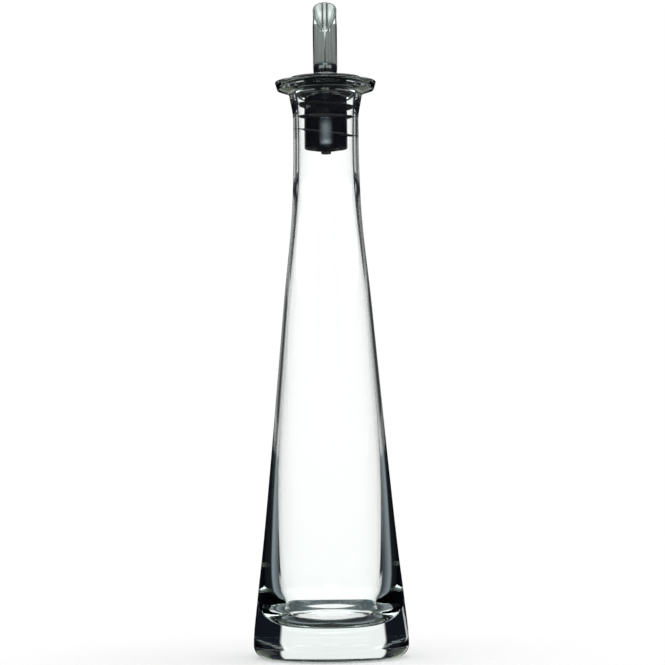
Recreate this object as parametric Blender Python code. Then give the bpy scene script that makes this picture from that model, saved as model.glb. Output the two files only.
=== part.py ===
"""Oil bottle with a lift-out pouring stopper.

A tall glass bottle with a heavy base tapers to a flanged mouth. The stopper
lies on the flange: a black plate and core, four thin rubber rings that seal
against the glass, a rolled steel spout, and an air tube in a holder that
closes the lower end of the core around its pouring slots.

Units are metres and +Z is up. The origin is the centre of the glass base,
and the open side of the spout faces -Y.
"""

from math import asin, atan2, cos, degrees, hypot, pi, radians, sin, tan

import bmesh
import bpy
from mathutils import Matrix

MM = 0.001

# Fits and cuts
FIT_GAP = 0.3 * MM
CUT_OVERRUN = 2.0 * MM
WELD_DISTANCE = 0.001 * MM

# Glass: outside, from the foot up. The body runs up to the neck, the neck is
# straight, and the throat flares from it to the flange.
BASE_RADIUS = 33.0 * MM
HEEL_FILLET = 5.1 * MM
BODY_HEIGHT = 219.0 * MM
NECK_RADIUS = 14.0 * MM
NECK_LENGTH = 10.0 * MM
THROAT_LENGTH = 10.0 * MM
THROAT_FLARE = 1.5 * MM
# Above the heel: share of the way up to the neck, and share of the way from
# the neck's radius out to the base's.
BODY_OUTLINE_SHARES = (
    (0.089, 0.910),
    (0.186, 0.782),
    (0.349, 0.597),
    (0.682, 0.247),
    (0.896, 0.026),
)

# Glass: flange round the mouth
FLANGE_WIDTH = 6.1 * MM
FLANGE_EDGE_HEIGHT = 3.9 * MM
FLANGE_SIDE_DRAFT = 0.9 * MM
FLANGE_UNDERSIDE_DROP = 1.2 * MM
FLANGE_FILLET = 1.4 * MM
FLANGE_EDGE_ROUND = 0.5 * MM

# Glass: inside
MOUTH_FLARE = 1.8 * MM
MOUTH_ROUND = 1.0 * MM
NECK_WALL = 2.4 * MM
THIN_WALL = 1.7 * MM
THIN_WALL_HEIGHT = 150.0 * MM
HEEL_WALL = 11.0 * MM
FLOOR_THICKNESS = 12.5 * MM
FLOOR_CORNER = 9.0 * MM
# Above the neck: share of the way up to the mouth's round, and share of the
# way from the bore's radius out to the mouth's.
BORE_FLARE_SHARES = (
    (0.37, 0.06),
    (0.63, 0.28),
    (0.85, 0.59),
)
# Wall between its thinnest level and the neck: share of the way up, and
# share of the way from the thin wall to the neck's.
UPPER_WALL_SHARES = (
    (0.34, 0.15),
    (0.62, 0.50),
    (0.84, 1.00),
)
# Wall between its thinnest level and the floor's corner: share of the way
# down, and share of the way from the thin wall to the heel's.
LOWER_WALL_SHARES = (
    (0.15, 0.03),
    (0.31, 0.06),
    (0.47, 0.12),
    (0.63, 0.25),
    (0.71, 0.34),
    (0.79, 0.45),
    (0.87, 0.58),
    (0.95, 0.78),
)

# Stopper: black plate and core. Heights on the stopper are measured from
# the plate's underside.
PLATE_LAP = 1.85 * MM
PLATE_THICKNESS = 1.5 * MM
PLATE_EDGE_ROUND = 0.5 * MM
CORE_CLEARANCE = 2.4 * MM
CORE_LENGTH = 29.5 * MM
CORE_FILLET = 0.8 * MM
CORE_CHAMFER = 0.4 * MM

# Rubber sealing rings, from the top one down. Each lies on a plane that
# the push into the neck has tipped a little.
RING_SQUEEZE = 0.35 * MM
RING_ROOT_THICKNESS = 1.0 * MM
RING_ROOT_WIDTH = 0.7 * MM
RING_LIP_THICKNESS = 0.5 * MM
RING_LEVEL_SHARES = (0.170, 0.356, 0.532, 0.754)
RING_TILTS_DEG = (0.5, 3.9, 1.0, 9.5)
RING_HIGH_SIDES_DEG = (0.0, 180.0, 180.0, 150.0)

# Steel spout, rolled from sheet
SPOUT_RADIUS = 5.2 * MM
SPOUT_WALL = 0.5 * MM
SPOUT_RISE = 33.2 * MM
SPOUT_SHOULDER = 5.2 * MM
STEM_STEP = 0.8 * MM
LIP_WAIST = 0.2 * MM
LIP_WAIST_DEPTH = 7.2 * MM
LIP_WAIST_REACH = 4.2 * MM
CUT_BACK_SLOPE_DEG = 35.0
CUT_FRONT_SLOPE_DEG = 72.0
SEAM_WIDTH = 0.2 * MM
NOTCH_WIDTH = 0.9 * MM
NOTCH_DEPTH = 3.4 * MM

# Air tube and the holder that carries it on the spout's axis
AIR_TUBE_RADIUS = 1.25 * MM
AIR_TUBE_WALL = 0.4 * MM
AIR_TUBE_RISE = 9.0 * MM
AIR_TUBE_RECESS = 0.6 * MM
HUB_WALL = 0.6 * MM
HUB_DROP = 2.1 * MM
HUB_CHAMFER = 0.3 * MM
HOLDER_WALL = 1.25 * MM
HOLDER_SEAT_DEPTH = 4.6 * MM
HOLDER_DROP = 0.6 * MM
HOLDER_WEB_THICKNESS = 1.6 * MM
HOLDER_WEB_WIDTH = 1.1 * MM
HOLDER_WEB_COUNT = 3
SLOT_MARGIN = 0.15 * MM

# How finely the round shapes are cut into faces
GLASS_SEGMENTS = 56
STOPPER_SEGMENTS = 40
TUBE_SEGMENTS = 40
AIR_TUBE_SEGMENTS = 20
BODY_STEPS = 2
HOLLOW_STEPS = 1
WAIST_STEPS = 3
ARC_STEPS = 5
SMALL_ARC_STEPS = 3
SMOOTH_ANGLE_DEG = 30.0

# Places that follow from the sizes above
FLARE_HEIGHT = BODY_HEIGHT + NECK_LENGTH
THROAT_HEIGHT = FLARE_HEIGHT + THROAT_LENGTH
GLASS_HEIGHT = THROAT_HEIGHT + FLANGE_FILLET + FLANGE_UNDERSIDE_DROP + FLANGE_EDGE_HEIGHT
THROAT_RADIUS = NECK_RADIUS + THROAT_FLARE
FLANGE_RADIUS = THROAT_RADIUS + FLANGE_WIDTH
BORE_RADIUS = NECK_RADIUS - NECK_WALL
MOUTH_RADIUS = BORE_RADIUS + MOUTH_FLARE
MOUTH_ROUND_HEIGHT = GLASS_HEIGHT - MOUTH_ROUND
FLOOR_CORNER_HEIGHT = FLOOR_THICKNESS + FLOOR_CORNER
SEAT_HEIGHT = GLASS_HEIGHT + FIT_GAP
PLATE_RADIUS = MOUTH_RADIUS + PLATE_LAP
CORE_RADIUS = BORE_RADIUS - CORE_CLEARANCE
RING_FREE_RADIUS = BORE_RADIUS + RING_SQUEEZE
STEM_RADIUS = SPOUT_RADIUS - STEM_STEP
STEM_BORE_RADIUS = STEM_RADIUS - SPOUT_WALL
CORE_BORE_RADIUS = STEM_RADIUS + FIT_GAP
HOLDER_RADIUS = STEM_BORE_RADIUS + HOLDER_WALL
HOLDER_SEAT_RADIUS = HOLDER_RADIUS + FIT_GAP
HOLDER_TOP = HOLDER_SEAT_DEPTH - CORE_LENGTH
SPOUT_TIP = PLATE_THICKNESS + SPOUT_RISE
SHOULDER_FOOT = PLATE_THICKNESS + FIT_GAP
HUB_BORE_RADIUS = AIR_TUBE_RADIUS + FIT_GAP
HUB_RADIUS = HUB_BORE_RADIUS + HUB_WALL
HUB_BOTTOM = -CORE_LENGTH - HUB_DROP


def between(low, high, share):
    """The value a share of the way from low to high."""
    return low + (high - low) * share


def smooth(stations, first_slope=None):
    """A function of height that runs smoothly through (height, value) stations.

    Between two stations it never passes beyond their values.
    """
    spans = list(zip(stations, stations[1:]))
    chords = [(after[1] - before[1]) / (after[0] - before[0]) for before, after in spans]
    lengths = [after[0] - before[0] for before, after in spans]
    slopes = [chords[0] if first_slope is None else first_slope]
    for index in range(1, len(spans)):
        below, above = chords[index - 1], chords[index]
        below_weight = 2 * lengths[index] + lengths[index - 1]
        above_weight = lengths[index] + 2 * lengths[index - 1]
        if below * above <= 0:
            slopes.append(0)
        else:
            slopes.append((below_weight + above_weight) / (below_weight / below + above_weight / above))
    slopes.append(chords[-1])

    def value(height):
        index = 0
        while index < len(spans) - 1 and height > stations[index + 1][0]:
            index += 1
        length = lengths[index]
        along = (height - stations[index][0]) / length
        rise = along * along * (3 - 2 * along)
        start = stations[index][1]
        end = stations[index + 1][1]
        leave = slopes[index] * length * along * (1 - along) ** 2
        arrive = slopes[index + 1] * length * along * along * (along - 1)
        return between(start, end, rise) + leave + arrive

    return value


def levels(stations, steps):
    """Heights that split each span between stations into equal steps."""
    heights = [stations[0][0]]
    for before, after in zip(stations, stations[1:]):
        heights += [between(before[0], after[0], step / steps) for step in range(1, steps + 1)]
    return heights


def arc(centre, radius, start_deg, end_deg, steps):
    """Points (radius, height) of a round stretch, both ends included."""
    points = []
    for step in range(steps + 1):
        angle = radians(between(start_deg, end_deg, step / steps))
        points.append((centre[0] + radius * cos(angle), centre[1] + radius * sin(angle)))
    return points


OUTSIDE_STATIONS = [(HEEL_FILLET, BASE_RADIUS)]
OUTSIDE_STATIONS += [
    (between(HEEL_FILLET, BODY_HEIGHT, up), between(NECK_RADIUS, BASE_RADIUS, out))
    for up, out in BODY_OUTLINE_SHARES
]
OUTSIDE_STATIONS += [
    (BODY_HEIGHT, NECK_RADIUS),
    (FLARE_HEIGHT, NECK_RADIUS),
    (THROAT_HEIGHT, THROAT_RADIUS),
]
outside_radius = smooth(OUTSIDE_STATIONS, first_slope=0)

WALL_STATIONS = [(FLOOR_CORNER_HEIGHT, HEEL_WALL)]
WALL_STATIONS += [
    (between(THIN_WALL_HEIGHT, FLOOR_CORNER_HEIGHT, down), between(THIN_WALL, HEEL_WALL, share))
    for down, share in reversed(LOWER_WALL_SHARES)
]
WALL_STATIONS += [(THIN_WALL_HEIGHT, THIN_WALL)]
WALL_STATIONS += [
    (between(THIN_WALL_HEIGHT, BODY_HEIGHT, up), between(THIN_WALL, NECK_WALL, share))
    for up, share in UPPER_WALL_SHARES
]
WALL_STATIONS += [(BODY_HEIGHT, NECK_WALL)]
wall_thickness = smooth(WALL_STATIONS)

BORE_STATIONS = [(BODY_HEIGHT, BORE_RADIUS)]
BORE_STATIONS += [
    (between(BODY_HEIGHT, MOUTH_ROUND_HEIGHT, up), between(BORE_RADIUS, MOUTH_RADIUS, out))
    for up, out in BORE_FLARE_SHARES
]
BORE_STATIONS += [(MOUTH_ROUND_HEIGHT, MOUTH_RADIUS)]
bore_radius = smooth(BORE_STATIONS, first_slope=0)


def inside_radius(height):
    """Radius of the hollow at a height between the floor's corner and the mouth."""
    if height > BODY_HEIGHT:
        return bore_radius(height)
    return outside_radius(height) - wall_thickness(height)


def clear_scene():
    """Remove every object of the scene."""
    for item in list(bpy.data.objects):
        bpy.data.objects.remove(item, do_unlink=True)


def make_material(name, colour, roughness, metallic=0.0, transmission=0.0, ior=1.5):
    """A Principled material of one finish."""
    material = bpy.data.materials.new(name)
    material.use_nodes = True
    shader = material.node_tree.nodes["Principled BSDF"]
    shader.inputs["Base Color"].default_value = (*colour, 1.0)
    shader.inputs["Roughness"].default_value = roughness
    shader.inputs["Metallic"].default_value = metallic
    shader.inputs["Transmission Weight"].default_value = transmission
    shader.inputs["IOR"].default_value = ior
    material.diffuse_color = (*colour, 1.0)
    return material


def make_object(name, bm, material, parent=None, turned_by=None):
    """Turn a bmesh into a smooth-shaded object under a parent."""
    mesh = bpy.data.meshes.new(name)
    bm.to_mesh(mesh)
    bm.free()
    mesh.shade_smooth()
    mesh.set_sharp_from_angle(angle=radians(SMOOTH_ANGLE_DEG))
    if material is not None:
        mesh.materials.append(material)
    item = bpy.data.objects.new(name, mesh)
    bpy.context.scene.collection.objects.link(item)
    item.parent = parent
    if turned_by is not None:
        item.matrix_local = turned_by
    return item


def spin_outline(outline, segments, closed):
    """Spin an outline of (radius, height) points about Z into a bmesh."""
    bm = bmesh.new()
    corners = [bm.verts.new((radius, 0, height)) for radius, height in outline]
    edges = [bm.edges.new(pair) for pair in zip(corners, corners[1:])]
    if closed:
        edges.append(bm.edges.new((corners[-1], corners[0])))
    bmesh.ops.spin(bm, geom=corners + edges, axis=(0, 0, 1), angle=2 * pi, steps=segments)
    bmesh.ops.remove_doubles(bm, verts=bm.verts, dist=WELD_DISTANCE)
    bmesh.ops.recalc_face_normals(bm, faces=bm.faces)
    return bm


def make_prism(name, points, shift, parent):
    """A cutter: a flat outline of 3-D points pushed through by a shift."""
    bm = bmesh.new()
    face = bm.faces.new([bm.verts.new(point) for point in points])
    pushed = bmesh.ops.extrude_face_region(bm, geom=[face])
    moved = [item for item in pushed["geom"] if isinstance(item, bmesh.types.BMVert)]
    bmesh.ops.translate(bm, verts=moved, vec=shift)
    bmesh.ops.recalc_face_normals(bm, faces=bm.faces)
    return hide_cutter(make_object(name, bm, None, parent))


def hide_cutter(item):
    """Show a cutter as wire only."""
    item.display_type = "WIRE"
    item.hide_render = True
    return item


def cut(target, cutter):
    """Take the cutter's shape out of the target."""
    modifier = target.modifiers.new("cut by " + cutter.name, "BOOLEAN")
    modifier.operation = "DIFFERENCE"
    modifier.solver = "EXACT"
    modifier.object = cutter


def make_axis(name, height, parent=None):
    """An empty on the bottle's centre line."""
    axis = bpy.data.objects.new(name, None)
    axis.empty_display_size = BASE_RADIUS
    bpy.context.scene.collection.objects.link(axis)
    axis.parent = parent
    axis.location = (0, 0, height)
    return axis


def flange_outline():
    """The flange, from the throat's fillet round the edge to the mouth's round."""
    underside_edge = GLASS_HEIGHT - FLANGE_EDGE_HEIGHT
    fillet_centre = (THROAT_RADIUS + FLANGE_FILLET, THROAT_HEIGHT)
    lower_edge = (FLANGE_RADIUS - FLANGE_SIDE_DRAFT - FLANGE_EDGE_ROUND, underside_edge + FLANGE_EDGE_ROUND)
    upper_edge = (FLANGE_RADIUS - FLANGE_EDGE_ROUND, GLASS_HEIGHT - FLANGE_EDGE_ROUND)
    mouth_centre = (MOUTH_RADIUS + MOUTH_ROUND, MOUTH_ROUND_HEIGHT)
    across, up = lower_edge[0] - fillet_centre[0], lower_edge[1] - fillet_centre[1]
    tangent_turn = asin((FLANGE_FILLET + FLANGE_EDGE_ROUND) / hypot(across, up))
    underside = degrees(atan2(up, across) - tangent_turn)
    side = degrees(atan2(upper_edge[1] - lower_edge[1], upper_edge[0] - lower_edge[0])) - 90
    points = arc(fillet_centre, FLANGE_FILLET, 180, 90 + underside, SMALL_ARC_STEPS)
    points += arc(lower_edge, FLANGE_EDGE_ROUND, underside - 90, side, SMALL_ARC_STEPS)
    points += arc(upper_edge, FLANGE_EDGE_ROUND, side, 90, SMALL_ARC_STEPS)
    points += arc(mouth_centre, MOUTH_ROUND, 90, 180, SMALL_ARC_STEPS)
    return points


def make_glass_bottle(material):
    """The glass: heavy base, tapering body, waisted neck and flanged mouth."""
    heel_centre = (BASE_RADIUS - HEEL_FILLET, HEEL_FILLET)
    outline = [(0, 0)]
    outline += arc(heel_centre, HEEL_FILLET, -90, 0, ARC_STEPS)
    outline += [(outside_radius(z), z) for z in levels(OUTSIDE_STATIONS, BODY_STEPS)[1:-1]]
    outline += flange_outline()
    bore_levels = levels(BORE_STATIONS, HOLLOW_STEPS)
    hollow_levels = levels(WALL_STATIONS, HOLLOW_STEPS)
    outline += [(inside_radius(z), z) for z in reversed(bore_levels[1:-1])]
    outline += [(inside_radius(z), z) for z in reversed(hollow_levels[1:])]
    corner_centre = (inside_radius(FLOOR_CORNER_HEIGHT) - FLOOR_CORNER, FLOOR_CORNER_HEIGHT)
    outline += arc(corner_centre, FLOOR_CORNER, 0, -90, ARC_STEPS)
    outline += [(0, FLOOR_THICKNESS)]
    return make_object("glass_bottle", spin_outline(outline, GLASS_SEGMENTS, False), material)


def make_stopper_core(material, parent):
    """The black plate and core in one moulding, bored for the spout and holder."""
    plate_edge = PLATE_RADIUS - PLATE_EDGE_ROUND
    fillet_centre = (CORE_RADIUS + CORE_FILLET, -CORE_FILLET)
    outline = [(CORE_BORE_RADIUS, PLATE_THICKNESS)]
    outline += arc((plate_edge, PLATE_THICKNESS - PLATE_EDGE_ROUND), PLATE_EDGE_ROUND, 90, 0, SMALL_ARC_STEPS)
    outline += arc((plate_edge, PLATE_EDGE_ROUND), PLATE_EDGE_ROUND, 0, -90, SMALL_ARC_STEPS)
    outline += arc(fillet_centre, CORE_FILLET, 90, 180, SMALL_ARC_STEPS)
    outline += [
        (CORE_RADIUS, CORE_CHAMFER - CORE_LENGTH),
        (CORE_RADIUS - CORE_CHAMFER, -CORE_LENGTH),
        (HOLDER_SEAT_RADIUS, -CORE_LENGTH),
        (HOLDER_SEAT_RADIUS, HOLDER_TOP + FIT_GAP),
        (CORE_BORE_RADIUS, HOLDER_TOP + FIT_GAP),
    ]
    return make_object("stopper_core", spin_outline(outline, STOPPER_SEGMENTS, True), material, parent)


def make_sealing_ring(number, material, parent):
    """One rubber ring: a thick root round the core and a thin lip at the glass."""
    level = -CORE_LENGTH * RING_LEVEL_SHARES[number]
    tilt = radians(RING_TILTS_DEG[number])
    high_side = radians(RING_HIGH_SIDES_DEG[number])
    lowest_rim = SEAT_HEIGHT + level - RING_FREE_RADIUS * sin(tilt)
    rim_radius = min(RING_FREE_RADIUS, inside_radius(lowest_rim) - FIT_GAP)
    root_half = RING_ROOT_THICKNESS / 2
    lip_half = RING_LIP_THICKNESS / 2
    hole_radius = (CORE_RADIUS + FIT_GAP + root_half * sin(tilt)) / cos(tilt)
    lip_start = hole_radius + RING_ROOT_WIDTH
    outline = [
        (hole_radius, -root_half),
        (hole_radius, root_half),
        (between(hole_radius, lip_start, 1 / 2), root_half),
        (lip_start, lip_half),
    ]
    outline += arc((rim_radius - lip_half, 0), lip_half, 90, -90, SMALL_ARC_STEPS)
    outline += [(lip_start, -lip_half), (between(hole_radius, lip_start, 1 / 2), -root_half)]
    turn = Matrix.Rotation(high_side, 4, "Z") @ Matrix.Rotation(-tilt, 4, "Y")
    place = Matrix.Translation((0, 0, level)) @ turn
    bm = spin_outline(outline, STOPPER_SEGMENTS, True)
    return make_object(f"sealing_ring_{number + 1}", bm, material, parent, place)


def spout_radius_at(height):
    """Outside radius of the spout above its shoulder, with the waist under its lip."""
    from_waist = (height - SPOUT_TIP + LIP_WAIST_DEPTH) / LIP_WAIST_REACH
    if abs(from_waist) >= 1:
        return SPOUT_RADIUS
    return SPOUT_RADIUS - LIP_WAIST * (1 + cos(pi * from_waist)) / 2


def spout_outline(inset):
    """The spout's profile from its stem to above its tip, moved in by a wall."""
    shoulder_top = SHOULDER_FOOT + SPOUT_SHOULDER
    waist = SPOUT_TIP - LIP_WAIST_DEPTH
    outline = [(STEM_RADIUS - inset, HOLDER_TOP + FIT_GAP)]
    for step in range(ARC_STEPS + 1):
        turn = radians(90 * step / ARC_STEPS)
        radius = between(STEM_RADIUS, SPOUT_RADIUS, sin(turn))
        height = shoulder_top - SPOUT_SHOULDER * cos(turn)
        outline.append((radius - inset, height))
    for step in range(-WAIST_STEPS, WAIST_STEPS + 1):
        height = waist + LIP_WAIST_REACH * step / WAIST_STEPS
        outline.append((spout_radius_at(height) - inset, height))
    outline.append((SPOUT_RADIUS - inset, SPOUT_TIP + CUT_OVERRUN))
    return outline


def make_lip_cutter(parent):
    """The cutter for the open side: an arc that steepens from back to front."""
    back = radians(CUT_BACK_SLOPE_DEG)
    front = radians(CUT_FRONT_SLOPE_DEG)
    cut_radius = 2 * SPOUT_RADIUS / (sin(front) - sin(back))
    half_width = SPOUT_RADIUS + CUT_OVERRUN
    high = SPOUT_TIP + 2 * CUT_OVERRUN
    steps = 3 * ARC_STEPS
    points = [
        (-half_width, half_width, high),
        (-half_width, half_width, SPOUT_TIP + CUT_OVERRUN * tan(back)),
    ]
    for step in range(steps + 1):
        slope = between(back, front, step / steps)
        across = SPOUT_RADIUS - cut_radius * (sin(slope) - sin(back))
        drop = cut_radius * (cos(back) - cos(slope))
        points.append((-half_width, across, SPOUT_TIP - drop))
    low = points[-1][2]
    points.append((-half_width, -half_width, low - CUT_OVERRUN * tan(front)))
    points.append((-half_width, -half_width, high))
    cutter = make_prism("lip_cutter", points, (2 * half_width, 0, 0), parent)
    return cutter, low


def make_seam_cutter(rim_height, parent):
    """The cutter for the open butt seam and the notch where it meets the rim."""
    seam_half = SEAM_WIDTH / 2
    notch_half = NOTCH_WIDTH / 2
    seam_foot = SHOULDER_FOOT + SPOUT_SHOULDER
    front = -SPOUT_RADIUS - CUT_OVERRUN
    sides = [
        (seam_half, seam_foot),
        (seam_half, rim_height - NOTCH_DEPTH),
        (notch_half, rim_height),
        (notch_half, rim_height + CUT_OVERRUN),
    ]
    points = [(x, front, z) for x, z in sides]
    points += [(-x, front, z) for x, z in reversed(sides)]
    reach = SPOUT_RADIUS + CUT_OVERRUN - STEM_BORE_RADIUS + SPOUT_WALL
    return make_prism("seam_cutter", points, (0, reach, 0), parent)


def make_spout_tube(material, parent):
    """The rolled steel spout with its slanted mouth, notch and seam."""
    outline = spout_outline(0)
    outline += list(reversed(spout_outline(SPOUT_WALL)))
    spout = make_object("spout_tube", spin_outline(outline, TUBE_SEGMENTS, True), material, parent)
    lip_cutter, rim_height = make_lip_cutter(parent)
    cut(spout, lip_cutter)
    cut(spout, make_seam_cutter(rim_height, parent))
    return spout


def make_air_tube(material, parent):
    """The thin tube that lets air into the bottle while it pours."""
    inner = AIR_TUBE_RADIUS - AIR_TUBE_WALL
    bottom = HUB_BOTTOM + AIR_TUBE_RECESS
    top = PLATE_THICKNESS + AIR_TUBE_RISE
    outline = [(AIR_TUBE_RADIUS, bottom), (AIR_TUBE_RADIUS, top), (inner, top), (inner, bottom)]
    return make_object("air_tube", spin_outline(outline, AIR_TUBE_SEGMENTS, True), material, parent)


def make_slot_cutter(number, parent):
    """One pouring slot of the holder, between two of its webs."""
    slot_inner = HUB_RADIUS + SLOT_MARGIN
    slot_outer = STEM_BORE_RADIUS - SLOT_MARGIN
    middle = (slot_inner + slot_outer) / 2
    web_angle = HOLDER_WEB_WIDTH / middle
    span = 2 * pi / HOLDER_WEB_COUNT - web_angle
    low = -CORE_LENGTH - HOLDER_DROP - CUT_OVERRUN
    high = HOLDER_TOP + CUT_OVERRUN
    bm = bmesh.new()
    corners = ((slot_inner, low), (slot_outer, low), (slot_outer, high), (slot_inner, high))
    face = bm.faces.new([bm.verts.new((radius, 0, height)) for radius, height in corners])
    bmesh.ops.spin(bm, geom=[face], axis=(0, 0, 1), angle=span, steps=ARC_STEPS)
    bmesh.ops.recalc_face_normals(bm, faces=bm.faces)
    turn = Matrix.Rotation(2 * pi * number / HOLDER_WEB_COUNT + web_angle / 2, 4, "Z")
    return hide_cutter(make_object(f"slot_cutter_{number + 1}", bm, None, parent, turn))


def make_air_tube_holder(material, parent):
    """The plug under the core: a ring, a hub for the air tube and three webs."""
    ring_bottom = -CORE_LENGTH - HOLDER_DROP
    web_bottom = -CORE_LENGTH
    web_top = web_bottom + HOLDER_WEB_THICKNESS
    outline = [
        (HUB_BORE_RADIUS, HUB_BOTTOM),
        (HUB_RADIUS - HUB_CHAMFER, HUB_BOTTOM),
        (HUB_RADIUS, HUB_BOTTOM + HUB_CHAMFER),
        (HUB_RADIUS, web_bottom),
        (STEM_BORE_RADIUS, web_bottom),
        (STEM_BORE_RADIUS, ring_bottom),
        (HOLDER_RADIUS, ring_bottom),
        (HOLDER_RADIUS, HOLDER_TOP),
        (STEM_BORE_RADIUS, HOLDER_TOP),
        (STEM_BORE_RADIUS, web_top),
        (HUB_RADIUS, web_top),
        (HUB_RADIUS, HOLDER_TOP),
        (HUB_BORE_RADIUS, HOLDER_TOP),
    ]
    holder = make_object("air_tube_holder", spin_outline(outline, STOPPER_SEGMENTS, True), material, parent)
    for number in range(HOLDER_WEB_COUNT):
        cut(holder, make_slot_cutter(number, parent))
    return holder


def main():
    """Build the bottle and the stopper in its neck."""
    clear_scene()
    glass = make_material("clear_glass", (0.95, 0.98, 0.97), 0.02, transmission=1.0, ior=1.52)
    black_plastic = make_material("black_plastic", (0.012, 0.012, 0.016), 0.22)
    holder_plastic = make_material("holder_plastic", (0.015, 0.016, 0.018), 0.35)
    black_rubber = make_material("black_rubber", (0.014, 0.014, 0.016), 0.55)
    steel = make_material("polished_steel", (0.60, 0.63, 0.61), 0.16, metallic=1.0)
    tube_steel = make_material("tube_steel", (0.55, 0.57, 0.56), 0.25, metallic=1.0)

    lift_axis = make_axis("lift_axis", SEAT_HEIGHT)
    turn_axis = make_axis("turn_axis", 0, lift_axis)
    make_glass_bottle(glass)
    for number in range(len(RING_LEVEL_SHARES)):
        make_sealing_ring(number, black_rubber, lift_axis)
    make_stopper_core(black_plastic, turn_axis)
    make_spout_tube(steel, turn_axis)
    make_air_tube(tube_steel, turn_axis)
    make_air_tube_holder(holder_plastic, turn_axis)


main()
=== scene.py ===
"""Looks of the oil bottle: clear glass, black stopper, rubber rings and steel spout.

The file is laid out as a Blender add-on. Its operators each make one piece, or
one group of like pieces, round the part's fixed frame.
"""

from math import asin, atan2, cos, degrees, hypot, pi, radians, sin, tan

import bpy
from mathutils import Matrix, Vector


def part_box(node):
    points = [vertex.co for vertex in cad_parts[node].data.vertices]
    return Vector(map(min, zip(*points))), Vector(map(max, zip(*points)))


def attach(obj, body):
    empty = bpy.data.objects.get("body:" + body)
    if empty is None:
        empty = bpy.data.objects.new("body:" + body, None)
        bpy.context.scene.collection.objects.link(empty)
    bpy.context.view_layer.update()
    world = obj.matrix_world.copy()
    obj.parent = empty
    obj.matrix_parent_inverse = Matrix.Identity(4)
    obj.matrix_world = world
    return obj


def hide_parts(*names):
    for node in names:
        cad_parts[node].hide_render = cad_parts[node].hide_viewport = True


bl_info = {
    "name": "Oil bottle",
    "version": (1, 0, 0),
    "blender": (4, 5, 0),
    "location": "3D View > Sidebar > Oil bottle",
    "description": "Makes a tapering glass oil bottle with a lift-out pouring stopper",
    "category": "Add Mesh",
}

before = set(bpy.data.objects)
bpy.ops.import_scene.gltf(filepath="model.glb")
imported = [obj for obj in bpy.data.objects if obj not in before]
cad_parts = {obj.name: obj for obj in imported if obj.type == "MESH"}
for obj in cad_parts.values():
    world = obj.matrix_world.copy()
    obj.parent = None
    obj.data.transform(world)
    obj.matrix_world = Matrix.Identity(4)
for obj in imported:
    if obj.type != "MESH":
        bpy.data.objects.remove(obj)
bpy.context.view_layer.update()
GLASS_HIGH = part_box("glass_bottle")[1]
CORE_LOW, CORE_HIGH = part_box("stopper_core")
SPOUT_LOW, SPOUT_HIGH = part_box("spout_tube")
HOLDER_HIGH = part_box("air_tube_holder")[1]

MM = 0.001
FIT_GAP = 0.3 * MM
WELD_DISTANCE = 0.001 * MM
CUT_OVERRUN = 2.0 * MM
START_SIZE = 1.0 * MM
SMOOTH_ANGLE_DEG = 30.0
FLOOR_DROP = 0.3 * MM

# Glass outside: share of the way up from the heel to the neck, and share of
# the way from the neck's radius out to the base's.
BODY_OUTLINE_SHARES = (
    (0.089, 0.910),
    (0.186, 0.782),
    (0.349, 0.597),
    (0.682, 0.247),
    (0.896, 0.026),
)
# Bore above the neck: share of the way up, and share of the way out.
BORE_FLARE_SHARES = (
    (0.37, 0.06),
    (0.63, 0.28),
    (0.85, 0.59),
)
# Wall from its thinnest level up to the neck, and down to the floor's corner:
# share of the way, and share of the gain in thickness.
UPPER_WALL_SHARES = (
    (0.34, 0.15),
    (0.62, 0.50),
    (0.84, 1.00),
)
LOWER_WALL_SHARES = (
    (0.15, 0.03),
    (0.31, 0.06),
    (0.47, 0.12),
    (0.63, 0.25),
    (0.71, 0.34),
    (0.79, 0.45),
    (0.87, 0.58),
    (0.95, 0.78),
)
# Rubber rings from the top one down: share of the core's length, tilt, and
# the side that stands high.
RING_LEVEL_SHARES = (0.170, 0.356, 0.532, 0.754)
RING_TILTS_DEG = (0.5, 3.9, 1.0, 9.5)
RING_HIGH_SIDES_DEG = (0.0, 180.0, 180.0, 150.0)
# Share of the way from a ring's hole to its lip at which its root ends
RING_ROOT_END_SHARE = 0.5

# Slope of the spout's open side at the back and at the front
LIP_BACK_SLOPE_DEG = 35.0
LIP_FRONT_SLOPE_DEG = 72.0

# How finely the round shapes are made
GLASS_SEGMENTS = 256
STOPPER_SEGMENTS = 128
SPOUT_SEGMENTS = 128
BODY_STEPS = 12
ARC_STEPS = 12
SMALL_ARC_STEPS = 6
LIP_STEPS = 48
FLOOR_SEGMENTS = 96

# Levels of the studio's light that the glass mirrors once, by bearing in degrees
# clockwise from +Y: near the level of the eye, and down towards the table. They
# were chosen after how bright the photograph shows the edges of the glass and
# where those edges look to.
EDGE_LIGHT = (
    (-180, 0.3), (-120, 0.4), (-60, 0.5), (-48, 0.6), (-45, 0.8), (-42, 0.7), (-39, 0.35), (-36, 0.15),
    (-33, 0.05), (-30, 0.03), (-26, 0.07), (-20, 0.26), (-15, 0.5), (-10, 0.7), (-5, 0.8), (0, 0.7),
    (5, 0.35), (10, 0.15), (15, 0.06), (20, 0.02), (25, 0.04), (28, 0.08), (31, 0.17), (34, 0.3),
    (37, 0.4), (40, 0.5), (43, 0.7), (46, 0.8), (50, 0.6), (60, 0.5), (120, 0.4), (180, 0.3),
)
TABLE_LIGHT = (
    (-180, 0.05), (-80, 0.05), (-60, 0.3), (-48, 0.75), (-42, 1.0), (-38, 0.95), (-36, 0.6), (-33, 0.1),
    (-28, 0.04), (0, 0.04), (22, 0.04), (26, 0.2), (29, 0.75), (32, 1.0), (38, 0.9), (45, 0.6), (55, 0.25),
    (80, 0.05), (180, 0.05),
)

# White backdrops: bearing in degrees clockwise from +Y, and half the width
BACKDROPS_DEG = ((-1.7, 31.3), (-95.0, 25.0), (135.0, 30.0))
BACKDROP_SOFTNESS_DEG = 1.5

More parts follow.
